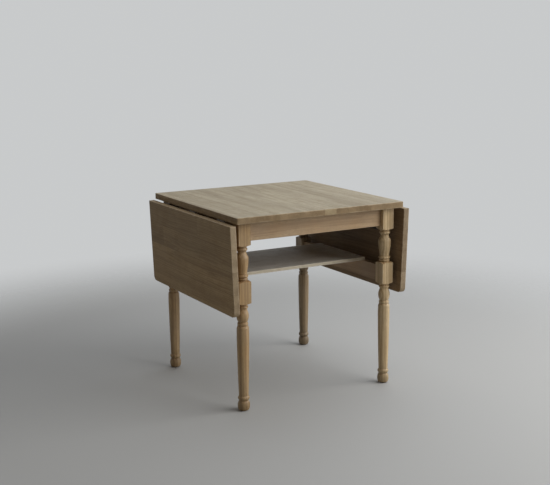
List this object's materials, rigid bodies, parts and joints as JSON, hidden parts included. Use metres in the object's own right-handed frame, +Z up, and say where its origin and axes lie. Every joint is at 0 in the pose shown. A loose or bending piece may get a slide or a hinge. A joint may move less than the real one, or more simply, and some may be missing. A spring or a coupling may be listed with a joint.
{
  "type": "drop-leaf dining table",
  "caption": "Square drop-leaf dining table in pale wood: turned legs, apron frame, low shelf on side stretchers, and hinged leaves that slotted stays hold level with the top.",
  "frame": {"origin": "on the floor, under the middle of the fixed top", "axes": "+Z up, +X from leaf to leaf towards the right leaf, +Y from the front apron to the rear apron"},
  "size_m": [0.7536, 0.7, 0.71],
  "materials": {
    "board_wood": "dry pale wood, light wear",
    "leg_wood": "turned, oiled golden wood",
    "rail_wood": "planed tan wood",
    "shelf_ply": "greyed thin board",
    "inner_wood": "sawn, unfinished",
    "hinge_steel": "zinc plated, dull",
    "stay_steel": "black, worn at the edges",
    "screw_steel": "zinc plated",
    "glide_plastic": "dark brown nylon"
  },
  "bodies": {
    "table_frame": {"corner_block_screws": "screw_steel", "foot_glides": "glide_plastic", "front_apron": "rail_wood", "front_left_corner_block": "inner_wood", "front_left_leg": "leg_wood", "front_right_corner_block": "inner_wood", "front_right_leg": "leg_wood", "hinge_top_screws": "screw_steel", "left_apron": "rail_wood", "left_front_hinge_top_flap": "hinge_steel", "left_front_stay_bracket": "stay_steel", "left_hinge_pins": "hinge_steel", "left_middle_hinge_top_flap": "hinge_steel", "left_rear_hinge_top_flap": "hinge_steel", "left_rear_stay_bracket": "stay_steel", "left_stretcher": "rail_wood", "rear_apron": "rail_wood", "rear_left_corner_block": "inner_wood", "rear_left_leg": "leg_wood", "rear_right_corner_block": "inner_wood", "rear_right_leg": "leg_wood", "right_apron": "rail_wood", "right_front_hinge_top_flap": "hinge_steel", "right_front_stay_bracket": "stay_steel", "right_hinge_pins": "hinge_steel", "right_middle_hinge_top_flap": "hinge_steel", "right_rear_hinge_top_flap": "hinge_steel", "right_rear_stay_bracket": "stay_steel", "right_stretcher": "rail_wood", "shelf": "shelf_ply", "shelf_screws": "screw_steel", "stay_bracket_screws": "screw_steel", "stay_studs": "stay_steel", "top_button_screws": "screw_steel", "top_buttons": "inner_wood", "top_panel": "board_wood"},
    "left_leaf": {"left_front_hinge_leaf_flap": "hinge_steel", "left_front_stay_ear": "stay_steel", "left_hinge_leaf_screws": "screw_steel", "left_leaf_board": "board_wood", "left_middle_hinge_leaf_flap": "hinge_steel", "left_rear_hinge_leaf_flap": "hinge_steel", "left_rear_stay_ear": "stay_steel", "left_stay_ear_screws": "screw_steel", "left_stay_rivets": "stay_steel"},
    "right_leaf": {"right_front_hinge_leaf_flap": "hinge_steel", "right_front_stay_ear": "stay_steel", "right_hinge_leaf_screws": "screw_steel", "right_leaf_board": "board_wood", "right_middle_hinge_leaf_flap": "hinge_steel", "right_rear_hinge_leaf_flap": "hinge_steel", "right_rear_stay_ear": "stay_steel", "right_stay_ear_screws": "screw_steel", "right_stay_rivets": "stay_steel"},
    "left_stays": {"left_front_stay_bar": "stay_steel", "left_rear_stay_bar": "stay_steel"},
    "right_stays": {"right_front_stay_bar": "stay_steel", "right_rear_stay_bar": "stay_steel"}
  },
  "joints": [
    {"name": "left_leaf_hinge", "type": "hinge", "parent": "table_frame", "child": "left_leaf", "pos_m": [-0.35075, 0, 0.6838], "axis": [0, 1, 0], "range_deg": [0, 92.2]},
    {"name": "left_stay_pivot", "type": "hinge", "parent": "left_leaf", "child": "left_stays", "pos_m": [-0.33876, 0, 0.58795], "axis": [0, 1, 0], "range_deg": [-46.1, 0]},
    {"name": "right_leaf_hinge", "type": "hinge", "parent": "table_frame", "child": "right_leaf", "pos_m": [0.35075, 0, 0.6838], "axis": [0, -1, 0], "range_deg": [0, 92.2]},
    {"name": "right_stay_pivot", "type": "hinge", "parent": "right_leaf", "child": "right_stays", "pos_m": [0.33876, 0, 0.58795], "axis": [0, -1, 0], "range_deg": [-46.1, 0]}
  ],
  "couplings": [
    {"joint": "left_stay_pivot", "follows": "left_leaf_hinge", "ratio": -0.5},
    {"joint": "right_stay_pivot", "follows": "right_leaf_hinge", "ratio": -0.5}
  ]
}
